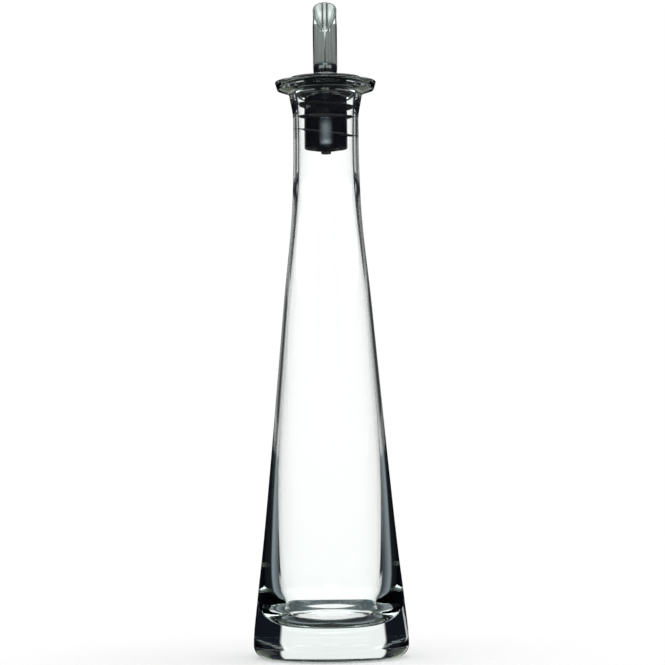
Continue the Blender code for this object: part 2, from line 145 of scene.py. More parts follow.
# Elevations in degrees over which the light seen through the glass changes
PALE_FLOOR_DEG = (-20.0, -16.0)
STEEP_FLOOR_DEG = (-41.5, -39.5)
BACKDROP_TOP_DEG = (24.0, 34.0)
# Elevations in degrees over which the mirrored light changes, from the table up
PAPER_FOOT_DEG = (-36.0, -32.0)
PAPER_TOP_DEG = (-13.0, -11.0)
TABLE_EDGE_DEG = (-4.0, -2.0)
FRONT_FOOT_DEG = (0.0, 1.0)
PLAIN_FRONT_TOP_DEG = (4.9, 5.5)
WINDOW_FOOT_DEG = (5.7, 6.6)
WINDOW_TOP_DEG = (6.5, 6.75)
GRAZED_TOP_DEG = (6.6, 7.0)
INNER_SOFTBOX_FOOT_DEG = (7.0, 8.0)
STRIP_FOOT_DEG = (7.3, 7.6)
STRIP_TOP_DEG = (7.9, 8.1)
SHADE_FOOT_DEG = (8.0, 8.2)
SHADE_TOP_DEG = (9.8, 10.6)
SOFTBOX_FOOT_DEG = (11.0, 12.5)
CEILING_DEG = (40.0, 60.0)
# Patches of mirrored light: half the width and the softness of the ends, in degrees
EDGES_REACH_DEG = (46.0, 3.0)
WINDOW_REACH_DEG = (14.0, 14.0)
LOW_FRONT_REACH_DEG = (61.0, 4.0)
HIGH_FRONT_REACH_DEG = (123.0, 4.0)
GRAZED_REACH_DEG = (60.0, 3.0)
PAPER_REACH_DEG = (80.0, 6.0)
SOFTBOX_REACH_DEG = (119.0, 4.0)
SOFTBOX_GAP_REACH_DEG = (37.0, 3.0)
FRONT_SOFTBOX_REACH_DEG = (14.0, 3.0)
INNER_BAND_REACH_DEG = (60.0, 3.0)
INNER_BAND_SLOPE_DEG = (11.0, 1.0)
INNER_BAND_START_DEG = (4.5, 5.5)
INNER_SOFTBOX_REACH_DEG = (80.0, 5.0)
BLACK = (0.0, 0.0, 0.0)
WHITE = (1.0, 1.0, 1.0)
CEILING_COLOUR = (0.3, 0.3, 0.3)
FILL_COLOUR = (0.85, 0.85, 0.85)

# The overhead lamp: sizes and places in metres, power in watts
LAMP_PLACE = (0.2, -0.1, 1.1)
LAMP_AIM = (0.0, 0.0, 0.1)
LAMP_WIDTH = 0.9
LAMP_POWER = 4.0

CAMERA_YAW_DEG = -0.096
CAMERA_PITCH_DEG = 2.052
CAMERA_ROLL_DEG = -0.627
CAMERA_SENSOR_WIDTH_MM = 36.0
CAMERA_CLIP_START = 0.05

# Glass: refraction, ripples per metre, and how fast thick glass takes on its colour
GLASS_IOR = 1.52
RIPPLE_SCALE = 22.0
RIPPLE_STRENGTH = 0.03
RIPPLE_DEPTH = 1.0 * MM
DEPTH_DENSITY = 50.0
GLASS_SHADOW = (0.9, 0.9, 0.9)

# Plain finishes: part of the noise that is used, spread of colour and of roughness
NOISE_SPAN = (0.3, 0.7)
CLOUD_SCALE = 90.0
PALER_SHARE = 1.25
ROUGHNESS_SHARES = (0.85, 1.2)
RELIEF_STRENGTH = 0.3
DRAWN_STRETCH = (1.0, 1.0, 0.02)
CORE_FINISH = {"roughness": 0.09, "grain": 700.0}
RUBBER_FINISH = {"roughness": 0.55, "grain": 900.0, "depth": 0.04 * MM}
AIR_TUBE_FINISH = {"roughness": 0.28, "grain": 1500.0, "metallic": 1.0, "stretch": DRAWN_STRETCH}
HOLDER_FINISH = {"roughness": 0.35, "grain": 700.0}

# Spout: drawn lines, how dark they are, and roughness inside and outside
DRAWN_LINES_SCALE = 2400.0
DRAWN_LINES_SHARE = 0.72
SPOUT_INSIDE_ROUGHNESS = 0.28
SPOUT_OUTSIDE_ROUGHNESS = 0.11
SPOUT_ANISOTROPY = 0.95
# Upward part of the normal over which faces that look up, such as the spout's rim, take on the painted shade
RIM_SHADE_SLOPE_SPAN = (0.15, 0.3)


def length(name, description, default):
    """A length that a user can change, in metres."""
    return bpy.props.FloatProperty(
        name=name, description=description, default=default, min=0.0, unit="LENGTH"
    )


def colour(name, description, default):
    """A colour that a user can change."""
    return bpy.props.FloatVectorProperty(
        name=name, description=description, default=default, size=3, min=0.0, max=1.0, subtype="COLOR"
    )


def light(name, description, default):
    """A colour with its brightness that a user can change."""
    return bpy.props.FloatVectorProperty(
        name=name, description=description, default=default, size=3, min=0.0, subtype="COLOR"
    )


class GlassSettings(bpy.types.PropertyGroup):
    """Sizes and colours of the glass bottle."""

    base_radius: length("Base radius", "Radius of the foot above its heel", GLASS_HIGH.x)
    height: length("Height", "Height of the glass without the stopper", GLASS_HIGH.z)
    heel_fillet: length("Heel fillet", "Round between the foot and the side", 5.1 * MM)
    neck_radius: length("Neck radius", "Outside radius of the neck", 14.0 * MM)
    neck_length: length("Neck length", "Length of the straight neck", 10.0 * MM)
    throat_length: length("Throat length", "Length of the flare from the neck to the flange", 10.0 * MM)
    throat_flare: length("Throat flare", "How far the throat widens", 1.5 * MM)
    flange_width: length("Flange width", "How far the flange stands out of the throat", 6.1 * MM)
    flange_edge_height: length("Flange edge height", "Height of the flange's edge", 3.9 * MM)
    flange_side_draft: length("Flange side draft", "How far the edge leans in below", 0.9 * MM)
    flange_underside_drop: length("Flange underside drop", "Fall of the underside to the throat", 1.2 * MM)
    flange_fillet: length("Flange fillet", "Round between the throat and the flange", 1.4 * MM)
    flange_edge_round: length("Flange edge round", "Round of the flange's edges", 0.5 * MM)
    mouth_flare: length("Mouth flare", "How far the bore widens up to the mouth", 1.8 * MM)
    mouth_round: length("Mouth round", "Round of the mouth's rim", 1.0 * MM)
    neck_wall: length("Neck wall", "Thickness of the glass at the neck", 2.4 * MM)
    thin_wall: length("Thin wall", "Thickness of the glass where it is thinnest", 1.7 * MM)
    thin_wall_height: length("Thin wall height", "Height of the thinnest wall", 150.0 * MM)
    heel_wall: length("Heel wall", "Thickness of the wall at the floor's corner", 11.0 * MM)
    floor_thickness: length("Floor thickness", "Thickness of the heavy base", 12.5 * MM)
    floor_corner: length("Floor corner", "Round between the wall and the floor inside", 9.0 * MM)
    tint: colour("Tint", "Colour of clear glass", (0.995, 1.0, 0.998))
    depth_colour: colour("Depth colour", "Colour that thick glass takes on", (0.91, 0.925, 0.92))


class StopperSettings(bpy.types.PropertyGroup):
    """Sizes and colours of the black core and its rubber rings."""

    plate_radius: length("Plate radius", "Radius of the plate on the flange", CORE_HIGH.x)
    plate_thickness: length("Plate thickness", "Thickness of the plate", 1.5 * MM)
    plate_edge_round: length("Plate edge round", "Round of the plate's edges", 0.5 * MM)
    seat_height: length("Seat height", "Height of the plate's underside", GLASS_HIGH.z + FIT_GAP)
    core_radius: length("Core radius", "Radius of the core", 9.2 * MM)
    core_fillet: length("Core fillet", "Round between the plate and the core", 0.8 * MM)
    core_chamfer: length("Core chamfer", "Bevel of the core's lower edge", 0.4 * MM)
    core_bore: length("Core bore", "Radius of the hole for the spout", 4.7 * MM)
    ring_bite: length("Ring bite", "How far the rings press into the glass and the core", 0.04 * MM)
    ring_root: length("Ring root", "Thickness of a ring at the core", 1.0 * MM)
    ring_root_width: length("Ring root width", "Width of a ring's thick root", 0.7 * MM)
    ring_lip: length("Ring lip", "Thickness of a ring's lip", 0.5 * MM)
    plastic_colour: colour("Plastic colour", "Colour of the black plastic", (0.004, 0.004, 0.007))
    rubber_colour: colour("Rubber colour", "Colour of the black rubber", (0.012, 0.012, 0.014))


class SpoutSettings(bpy.types.PropertyGroup):
    """Sizes and colours of the steel spout and the air tube's parts."""

    radius: length("Radius", "Outside radius of the spout", SPOUT_HIGH.x)
    wall: length("Wall", "Thickness of the steel sheet", 0.5 * MM)
    stem_step: length("Stem step", "How much narrower the stem in the core is", 0.8 * MM)
    shoulder: length("Shoulder", "Height of the shoulder above the plate", 5.2 * MM)
    tip: length("Tip", "Height of the spout's tip", SPOUT_HIGH.z)
    lip_waist: length("Lip waist", "Depth of the waist under the lip", 0.2 * MM)
    waist_depth: length("Waist depth", "How far the waist lies under the tip", 7.2 * MM)
    waist_reach: length("Waist reach", "Half the height of the waist", 4.2 * MM)
    seam_width: length("Seam width", "Width of the open butt seam", 0.2 * MM)
    notch_width: length("Notch width", "Width of the notch at the rim", 0.9 * MM)
    notch_depth: length("Notch depth", "Depth of the notch at the rim", 3.4 * MM)
    steel_colour: colour("Steel colour", "Colour of the polished steel", (0.60, 0.63, 0.61))
    # Colour of the painted shade along the spout's seam and on its faces that look up, such as the rim
    painted_shade_colour: colour("Seam colour", "Colour of the steel along the seam", (0.12, 0.13, 0.13))
    tube_colour: colour("Air tube colour", "Colour of the air tube's steel", (0.55, 0.57, 0.56))
    holder_colour: colour("Holder colour", "Colour of the air tube's holder", (0.015, 0.016, 0.018))


class StageSettings(bpy.types.PropertyGroup):
    """Camera, floor and light of the studio."""

    floor_colour: colour("Floor colour", "Colour of the floor beside the bottle", (0.90, 0.90, 0.90))
    floor_radius: length("Floor radius", "Radius of the floor", 3.0)
    shadow_reach: length("Shadow reach", "How far from the axis the floor shows a shadow", 0.16)
    camera_distance: length("Camera distance", "Distance from the bottle's axis to the camera", 1.133)
    camera_height: length("Camera height", "Height of the camera", 0.0973)
    focal_length: bpy.props.FloatProperty(
        name="Focal length", description="Focal length of the camera", default=143.7, unit="CAMERA"
    )
    side_colour: colour("Side colour", "Colour of the dark sides of the studio", (0.008, 0.010, 0.016))
    low_front_colour: colour(
        "Low front colour", "Colour of the studio's low part behind the camera", (0.02, 0.025, 0.03)
    )
    front_colour: colour("Front colour", "Colour of the studio behind the camera", (0.40, 0.43, 0.42))
    paper_colour: colour("Paper colour", "Colour of the table as gloss shows it", (0.50, 0.55, 0.46))
    steep_colour: colour("Steep colour", "Colour seen steeply down through the glass", (0.10, 0.13, 0.14))
    inner_colour: colour("Inner colour", "Colour of light that the glass mirrors often", (0.11, 0.135, 0.12))
    table_colour: colour("Table colour", "Colour of the table as thick glass shows it", (0.28, 0.33, 0.36))
    backdrop_colour: light("Backdrop colour", "Light of the backdrop behind the glass", (1.20, 1.21, 1.20))
    softbox_colour: light("Softbox colour", "Light of the softboxes over the front", (2.8, 3.0, 3.0))
    window_colour: light("Window colour", "Light of the window that the stopper mirrors", (3.4, 4.2, 4.5))


def between(low, high, part):
    """The value a share of the way from low to high."""
    return low + (high - low) * part


def smooth(stations, first_slope=None):
    """A function of height that runs smoothly through (height, value) stations.

    Between two stations it never passes beyond their values.
    """
    spans = list(zip(stations, stations[1:]))
    chords = [(after[1] - before[1]) / (after[0] - before[0]) for before, after in spans]
    lengths = [after[0] - before[0] for before, after in spans]
    slopes = [chords[0] if first_slope is None else first_slope]
    for index in range(1, len(spans)):
        below, above = chords[index - 1], chords[index]
        below_weight = 2 * lengths[index] + lengths[index - 1]
        above_weight = lengths[index] + 2 * lengths[index - 1]
        if below * above <= 0:
            slopes.append(0)
        else:
            slowness = below_weight / below + above_weight / above
            slopes.append((below_weight + above_weight) / slowness)
    slopes.append(chords[-1])

    def value(height):
        index = 0
        while index < len(spans) - 1 and height > stations[index + 1][0]:
            index += 1
        span = lengths[index]
        along = (height - stations[index][0]) / span
        rise = along * along * (3 - 2 * along)
        leave = slopes[index] * span * along * (1 - along) ** 2
        arrive = slopes[index + 1] * span * along * along * (along - 1)
        return between(stations[index][1], stations[index + 1][1], rise) + leave + arrive

    return value


def levels(low, high, steps):
    """Heights that split a span into equal steps, both ends included."""
    return [between(low, high, step / steps) for step in range(steps + 1)]


def arc(centre, radius, start_deg, end_deg, steps):
    """Points (radius, height) of a round stretch, both ends included."""
    turns = [radians(angle) for angle in levels(start_deg, end_deg, steps)]
    return [(centre[0] + radius * cos(turn), centre[1] + radius * sin(turn)) for turn in turns]


def deselect_all():
    """Leave no object selected."""
    bpy.ops.object.select_all(action="DESELECT")


def draw_line(name, points):
    """An object with one chain of edges through 3-D points, left in edit mode, all selected."""
    deselect_all()
    bpy.ops.mesh.primitive_plane_add(size=START_SIZE, location=(0, 0, 0))
    piece = bpy.context.active_object
    piece.name = name
    piece.data.name = name
    bpy.ops.object.mode_set(mode="EDIT")
    bpy.ops.mesh.select_mode(type="VERT")
    bpy.ops.mesh.select_all(action="SELECT")
    bpy.ops.mesh.merge(type="CENTER")
    bpy.ops.transform.translate(value=points[0])
    for before, after in zip(points, points[1:]):
        step = Vector(after) - Vector(before)
        bpy.ops.mesh.extrude_region_move(TRANSFORM_OT_translate={"value": step})
    bpy.ops.mesh.select_all(action="SELECT")
    return piece


def close_mesh():
    """Merge doubles, point the faces outwards and leave edit mode."""
    bpy.ops.mesh.select_all(action="SELECT")
    bpy.ops.mesh.remove_doubles(threshold=WELD_DISTANCE)
    bpy.ops.mesh.normals_make_consistent(inside=False)
    bpy.ops.object.mode_set(mode="OBJECT")


def turn_on_lathe(name, outline, segments):
    """Turn an outline of (radius, height) points once round Z into a smooth closed piece."""
    piece = draw_line(name, [(radius, 0, height) for radius, height in outline])
    bpy.ops.mesh.spin(steps=segments, angle=2 * pi, center=(0, 0, 0), axis=(0, 0, 1))
    close_mesh()
    bpy.ops.object.shade_smooth_by_angle(angle=radians(SMOOTH_ANGLE_DEG))
    return piece


def make_cutter(name, points, push):
    """A closed prism: a flat outline of 3-D points pushed through by a vector."""
    cutter = draw_line(name, list(points) + [points[0]])
    bpy.ops.mesh.remove_doubles(threshold=WELD_DISTANCE)
    bpy.ops.mesh.edge_face_add()
    bpy.ops.mesh.extrude_region_move(TRANSFORM_OT_translate={"value": push})
    close_mesh()
    return cutter


def cut(piece, cutter):
    """Take the cutter out of the piece and delete the cutter."""
    deselect_all()
    bpy.context.view_layer.objects.active = piece
    piece.select_set(True)
    modifier = piece.modifiers.new("cut", "BOOLEAN")
    modifier.operation = "DIFFERENCE"
    modifier.solver = "EXACT"
    modifier.object = cutter
    bpy.ops.object.modifier_apply(modifier=modifier.name)
    bpy.data.objects.remove(cutter, do_unlink=True)


def settle(piece, body, material, slot, *nodes):
    """Give a finished piece its material, and let it ride on a body in place of CAD nodes; the slot is not
    used.
    """
    piece.data.materials.clear()
    piece.data.materials.append(material)
    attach(piece, body)
    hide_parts(*nodes)


def new_material(name):
    """An empty node material and its output."""
    material = bpy.data.materials.new(name)
    material.use_nodes = True
    tree = material.node_tree
    tree.nodes.clear()
    return material, tree, tree.nodes.new("ShaderNodeOutputMaterial")


def add_node(tree, kind, sockets=None, **settings):
    """A shader node with its settings set and its sockets set or linked."""
    node = tree.nodes.new(kind)
    node.location = (220 * len(tree.nodes), 0)
    for name, value in settings.items():
        setattr(node, name, value)
    for socket, value in (sockets or {}).items():
        if isinstance(value, bpy.types.NodeSocket):
            tree.links.new(value, node.inputs[socket])
        else:
            node.inputs[socket].default_value = value
    return node


def add_math(tree, operation, first, second=0.0):
    """The result of one sum on two values or sockets."""
    return add_node(tree, "ShaderNodeMath", {0: first, 1: second}, operation=operation).outputs[0]


def add_step(tree, value, low, high, at_low=0.0, at_high=1.0):
    """A smooth step of a value from one level at low to another at high."""
    sockets = {"Value": value, "From Min": low, "From Max": high, "To Min": at_low, "To Max": at_high}
    node = add_node(tree, "ShaderNodeMapRange", sockets, interpolation_type="SMOOTHSTEP")
    return node.outputs["Result"]


def add_mix(tree, factor, first, second, kind="RGBA"):
    """A colour, or a vector if kind is VECTOR, a share of the way from the first to the second."""
    node = add_node(tree, "ShaderNodeMix", {"Factor": factor}, data_type=kind)
    for socket, value in (("A", first), ("B", second)):
        target = next(item for item in node.inputs if item.name == socket and item.type == kind)
        if isinstance(value, bpy.types.NodeSocket):
            tree.links.new(value, target)
        elif kind == "RGBA":
            target.default_value = (*value, 1.0)
        else:
            target.default_value = value
    return next(item for item in node.outputs if item.type == kind)


def add_curve(tree, value, places):
    """A value that follows another one in straight stretches through (place, value) points."""
    low, high = places[0][0], places[-1][0]
    sockets = {"Value": value, "From Min": low, "From Max": high}
    along = add_node(tree, "ShaderNodeMapRange", sockets)
    curve = add_node(tree, "ShaderNodeFloatCurve", {"Value": along.outputs["Result"]})
    points = curve.mapping.curves[0].points
    points[0].location = (0.0, places[0][1])
    points[1].location = (1.0, places[-1][1])
    for place, level in places[1:-1]:
        points.new((place - low) / (high - low), level)
    for point in points:
        point.handle_type = "VECTOR"
    curve.mapping.update()
    return curve.outputs["Value"]


def glass_material(look):
    """Clear, faintly rippled glass that tints what lies behind much of it and casts a pale shadow."""
    material, tree, output = new_material("clear_glass")
    place = add_node(tree, "ShaderNodeTexCoord").outputs["Object"]
    light_path = add_node(tree, "ShaderNodeLightPath").outputs
    ripple = add_node(tree, "ShaderNodeTexNoise", {"Vector": place, "Scale": RIPPLE_SCALE, "Detail": 0.0})
    waves = add_node(tree, "ShaderNodeBump", {
        "Strength": RIPPLE_STRENGTH,
        "Distance": RIPPLE_DEPTH,
        "Height": ripple.outputs["Fac"],
    })
    shader = add_node(tree, "ShaderNodeBsdfPrincipled", {
        "Base Color": (*look.tint, 1.0),
        "Roughness": 0.0,
        "IOR": GLASS_IOR,
        "Transmission Weight": 1.0,
        "Normal": waves.outputs["Normal"],
    })
    clear = add_node(tree, "ShaderNodeBsdfTransparent", {"Color": (*GLASS_SHADOW, 1.0)})
    mixed = add_node(tree, "ShaderNodeMixShader", {
        0: light_path["Is Shadow Ray"],
        1: shader.outputs["BSDF"],
        2: clear.outputs["BSDF"],
    })
    depth = add_node(tree, "ShaderNodeVolumeAbsorption", {
        "Color": (*look.depth_colour, 1.0),
        "Density": DEPTH_DENSITY,
    })
    tree.links.new(mixed.outputs["Shader"], output.inputs["Surface"])
    tree.links.new(depth.outputs["Volume"], output.inputs["Volume"])
    return material


def plain_material(name, base, roughness, grain, metallic=0.0, depth=0.02 * MM, stretch=(1.0, 1.0, 1.0)):
    """Moulded plastic, rubber or drawn metal: a base colour with fine grain in colour, gloss and relief."""
    material, tree, output = new_material(name)
    place = add_node(tree, "ShaderNodeTexCoord").outputs["Object"]
    placed = add_node(tree, "ShaderNodeMapping", {"Vector": place, "Scale": stretch}).outputs["Vector"]
    noise = add_node(tree, "ShaderNodeTexNoise", {"Vector": placed, "Scale": grain, "Detail": 4.0})
    cloud = add_node(tree, "ShaderNodeTexNoise", {"Vector": place, "Scale": CLOUD_SCALE, "Detail": 3.0})
    paler = tuple(min(1.0, part * PALER_SHARE) for part in base)
    shade = add_mix(tree, cloud.outputs["Fac"], base, paler)
    roughnesses = [roughness * share for share in ROUGHNESS_SHARES]
    gloss = add_step(tree, noise.outputs["Fac"], *NOISE_SPAN, *roughnesses)
    relief = add_node(tree, "ShaderNodeBump", {
        "Strength": RELIEF_STRENGTH,
        "Distance": depth,
        "Height": noise.outputs["Fac"],
    })
    shader = add_node(tree, "ShaderNodeBsdfPrincipled", {
        "Base Color": shade,
        "Roughness": gloss,
        "Metallic": metallic,
        "Normal": relief.outputs["Normal"],
    })
    tree.links.new(shader.outputs["BSDF"], output.inputs["Surface"])
    return material


def spout_material(size):
    """Polished steel: drawn lengthwise outside, polished round the inside, with painted shade along the seam
    and on faces that look up, such as the rim.
    """
    material, tree, output = new_material("polished_steel")
    texture = add_node(tree, "ShaderNodeTexCoord").outputs
    place = texture["Object"]
    parts = add_node(tree, "ShaderNodeSeparateXYZ", {"Vector": place}).outputs
    flat = add_node(tree, "ShaderNodeCombineXYZ", {"X": parts["X"], "Y": parts["Y"]}).outputs["Vector"]
    radius = add_node(tree, "ShaderNodeVectorMath", {0: flat}, operation="LENGTH").outputs["Value"]
    outside = add_math(tree, "GREATER_THAN", radius, size.radius - size.wall / 2)
    placed = add_node(tree, "ShaderNodeMapping", {"Vector": place, "Scale": DRAWN_STRETCH}).outputs["Vector"]
    sockets = {"Vector": placed, "Scale": DRAWN_LINES_SCALE, "Detail": 3.0}
    lines = add_node(tree, "ShaderNodeTexNoise", sockets).outputs["Fac"]
    darker = tuple(part * DRAWN_LINES_SHARE for part in size.steel_colour)
    shade = add_mix(tree, add_step(tree, lines, *NOISE_SPAN), darker, size.steel_colour)
    # Painted shade: a band along the front seam outside, and every face that looks up, such as the cut rim,
    # turn to the painted shade colour
    across = add_math(tree, "ABSOLUTE", parts["X"])
    seam = add_step(tree, across, size.seam_width, 2.0 * size.seam_width, 1.0, 0.0)
    seam = add_math(tree, "MULTIPLY", seam, add_math(tree, "LESS_THAN", parts["Y"], 0.0))
    seam = add_math(tree, "MULTIPLY", seam, outside)
    facing_up = add_node(tree, "ShaderNodeSeparateXYZ", {"Vector": texture["Normal"]}).outputs["Z"]
    painted_shade = add_math(tree, "MAXIMUM", seam, add_step(tree, facing_up, *RIM_SHADE_SLOPE_SPAN))
    shade = add_mix(tree, painted_shade, shade, size.painted_shade_colour)
    around = add_node(tree, "ShaderNodeTangent", direction_type="RADIAL", axis="Z").outputs["Tangent"]
    roughness = add_step(tree, outside, 0.0, 1.0, SPOUT_INSIDE_ROUGHNESS, SPOUT_OUTSIDE_ROUGHNESS)
    shader = add_node(tree, "ShaderNodeBsdfPrincipled", {
        "Base Color": shade,
        "Roughness": roughness,
        "Metallic": 1.0,
        "Anisotropic": SPOUT_ANISOTROPY,
        "Tangent": add_mix(tree, outside, (0.0, 0.0, 1.0), around, kind="VECTOR"),
    })
    tree.links.new(shader.outputs["BSDF"], output.inputs["Surface"])
    return material


def throat_top(size):
    """Height at which the throat ends and the flange's fillet starts."""
    return size.height - size.flange_edge_height - size.flange_underside_drop - size.flange_fillet


def flange_outline(size):
    """The flange, from the throat's fillet round the edge to the mouth's round."""
    throat_radius = size.neck_radius + size.throat_flare
    flange_radius = throat_radius + size.flange_width
    throat_height = throat_top(size)
    underside_edge = size.height - size.flange_edge_height
    edge_round = size.flange_edge_round
    fillet_centre = (throat_radius + size.flange_fillet, throat_height)
    lower_edge = (flange_radius - size.flange_side_draft - edge_round, underside_edge + edge_round)
    upper_edge = (flange_radius - edge_round, size.height - edge_round)
    mouth_radius = size.neck_radius - size.neck_wall + size.mouth_flare
    mouth_centre = (mouth_radius + size.mouth_round, size.height - size.mouth_round)
    across, up = lower_edge[0] - fillet_centre[0], lower_edge[1] - fillet_centre[1]
    tangent_turn = asin((size.flange_fillet + edge_round) / hypot(across, up))
    underside = degrees(atan2(up, across) - tangent_turn)
    side = degrees(atan2(upper_edge[1] - lower_edge[1], upper_edge[0] - lower_edge[0])) - 90
    points = arc(fillet_centre, size.flange_fillet, 180, 90 + underside, ARC_STEPS)
    points += arc(lower_edge, edge_round, underside - 90, side, SMALL_ARC_STEPS)
    points += arc(upper_edge, edge_round, side, 90, SMALL_ARC_STEPS)
    points += arc(mouth_centre, size.mouth_round, 90, 180, ARC_STEPS)
    return points


def glass_curves(size):
    """The outside of the glass and its hollow as functions of height, and the levels of each."""
    throat_height = throat_top(size)
    flare_height = throat_height - size.throat_length
    body_height = flare_height - size.neck_length
    stations = [(size.heel_fillet, size.base_radius)]
    for up, out in BODY_OUTLINE_SHARES:
        height = between(size.heel_fillet, body_height, up)
        stations.append((height, between(size.neck_radius, size.base_radius, out)))
    stations.append((body_height, size.neck_radius))
    stations.append((flare_height, size.neck_radius))
    stations.append((throat_height, size.neck_radius + size.throat_flare))
    outside = smooth(stations, first_slope=0)

    corner_height = size.floor_thickness + size.floor_corner
    walls = [(corner_height, size.heel_wall)]
    for down, part in reversed(LOWER_WALL_SHARES):
        height = between(size.thin_wall_height, corner_height, down)
        walls.append((height, between(size.thin_wall, size.heel_wall, part)))
    walls.append((size.thin_wall_height, size.thin_wall))
    for up, part in UPPER_WALL_SHARES:
        height = between(size.thin_wall_height, body_height, up)
        walls.append((height, between(size.thin_wall, size.neck_wall, part)))
    walls.append((body_height, size.neck_wall))
    wall = smooth(walls)

    bore_radius = size.neck_radius - size.neck_wall
    mouth_height = size.height - size.mouth_round
    bores = [(body_height, bore_radius)]
    for up, out in BORE_FLARE_SHARES:
        height = between(body_height, mouth_height, up)
        bores.append((height, between(bore_radius, bore_radius + size.mouth_flare, out)))
    bores.append((mouth_height, bore_radius + size.mouth_flare))
    bore = smooth(bores, first_slope=0)

    def inside(height):
        if height > body_height:
            return bore(height)
        return outside(height) - wall(height)

    outside_levels = [height for height, _ in stations]
    inside_levels = [height for height, _ in walls + bores[1:]]
    return outside, inside, outside_levels, inside_levels


def glass_outline(size):
    """The glass in profile, from the middle of the foot round to the middle of the floor."""
    outside, inside, outside_levels, inside_levels = glass_curves(size)
    heel_centre = (size.base_radius - size.heel_fillet, size.heel_fillet)
    outline = [(0, 0)]
    outline += arc(heel_centre, size.heel_fillet, -90, 0, ARC_STEPS)
    for low, high in zip(outside_levels, outside_levels[1:]):
        outline += [(outside(height), height) for height in levels(low, high, BODY_STEPS)[1:]]
    outline.pop()
    outline += flange_outline(size)
    for high, low in zip(inside_levels[::-1], inside_levels[-2::-1]):
        outline += [(inside(height), height) for height in levels(high, low, BODY_STEPS // 2)[1:]]
    corner_height = size.floor_thickness + size.floor_corner
    corner_centre = (inside(corner_height) - size.floor_corner, corner_height)
    outline += arc(corner_centre, size.floor_corner, 0, -90, ARC_STEPS)[1:]
    outline.append((0, size.floor_thickness))
    return outline


def core_outline(size):
    """The plate and core in profile, round to where it starts."""
    seat = size.seat_height
    edge_round = size.plate_edge_round
    plate_edge = size.plate_radius - edge_round
    top = seat + size.plate_thickness
    fillet_centre = (size.core_radius + size.core_fillet, seat - size.core_fillet)
    holder_seat_radius = HOLDER_HIGH.x + FIT_GAP
    holder_seat = HOLDER_HIGH.z + FIT_GAP
    outline = [(size.core_bore, top)]
    outline += arc((plate_edge, top - edge_round), edge_round, 90, 0, SMALL_ARC_STEPS)
    outline += arc((plate_edge, seat + edge_round), edge_round, 0, -90, SMALL_ARC_STEPS)
    outline += arc(fillet_centre, size.core_fillet, 90, 180, SMALL_ARC_STEPS)
    outline += [
        (size.core_radius, CORE_LOW.z + size.core_chamfer),
        (size.core_radius - size.core_chamfer, CORE_LOW.z),
        (holder_seat_radius, CORE_LOW.z),
        (holder_seat_radius, holder_seat),
        (size.core_bore, holder_seat),
        (size.core_bore, top),
    ]
    return outline


def ring_outline(size, hole_radius, rim_radius):
    """A rubber ring in profile: a thick root at the core and a thin round lip."""
    root_half = size.ring_root / 2
    lip_half = size.ring_lip / 2
    lip_start = hole_radius + size.ring_root_width
    root_end = between(hole_radius, lip_start, RING_ROOT_END_SHARE)
    upper = [(hole_radius, root_half), (root_end, root_half), (lip_start, lip_half)]
    lower = [(radius, -height) for radius, height in reversed(upper)]
    outline = [lower[-1]] + upper
    outline += arc((rim_radius - lip_half, 0), lip_half, 90, -90, ARC_STEPS)
    outline += lower
    return outline


def spout_radius_at(size, height):
    """Outside radius of the spout above its shoulder, with the waist under its lip."""
    from_waist = (height - size.tip + size.waist_depth) / size.waist_reach
    if abs(from_waist) >= 1:
        return size.radius
    return size.radius - size.lip_waist * (1 + cos(pi * from_waist)) / 2


def spout_side(size, plate_top, inset):
    """The spout's profile from its stem to above its tip, moved in by a wall."""
    stem_radius = size.radius - size.stem_step
    shoulder_top = plate_top + FIT_GAP + size.shoulder
    waist = size.tip - size.waist_depth
    outline = [(stem_radius - inset, SPOUT_LOW.z)]
    for turn in levels(0, pi / 2, ARC_STEPS):
        radius = between(stem_radius, size.radius, sin(turn))
        outline.append((radius - inset, shoulder_top - size.shoulder * cos(turn)))
    straight_top = waist - size.waist_reach
    for height in levels(shoulder_top, straight_top, BODY_STEPS)[1:-1]:
        outline.append((size.radius - inset, height))
    for height in levels(straight_top, waist + size.waist_reach, BODY_STEPS):
        outline.append((spout_radius_at(size, height) - inset, height))
    outline.append((size.radius - inset, size.tip + CUT_OVERRUN))
    return outline


class OILBOTTLE_OT_make_glass(bpy.types.Operator):
    """Make the glass bottle with its heavy base, waisted neck and flange"""

    bl_idname = "oil_bottle.make_glass"
    bl_label = "Make glass bottle"

    def execute(self, context):
        size = context.scene.oil_bottle_glass
        piece = turn_on_lathe("clear_glass_bottle", glass_outline(size), GLASS_SEGMENTS)
        settle(piece, "bottle", glass_material(size), "glass", "glass_bottle")
        return {"FINISHED"}


class OILBOTTLE_OT_make_core(bpy.types.Operator):
    """Make the black plate and core of the stopper"""

    bl_idname = "oil_bottle.make_core"
    bl_label = "Make plate and core"

    def execute(self, context):
        size = context.scene.oil_bottle_stopper
        piece = turn_on_lathe("stopper_plate_and_core", core_outline(size), STOPPER_SEGMENTS)
        material = plain_material("black_plastic", size.plastic_colour, **CORE_FINISH)
        settle(piece, "stopper", material, "stopper", "stopper_core")
        return {"FINISHED"}


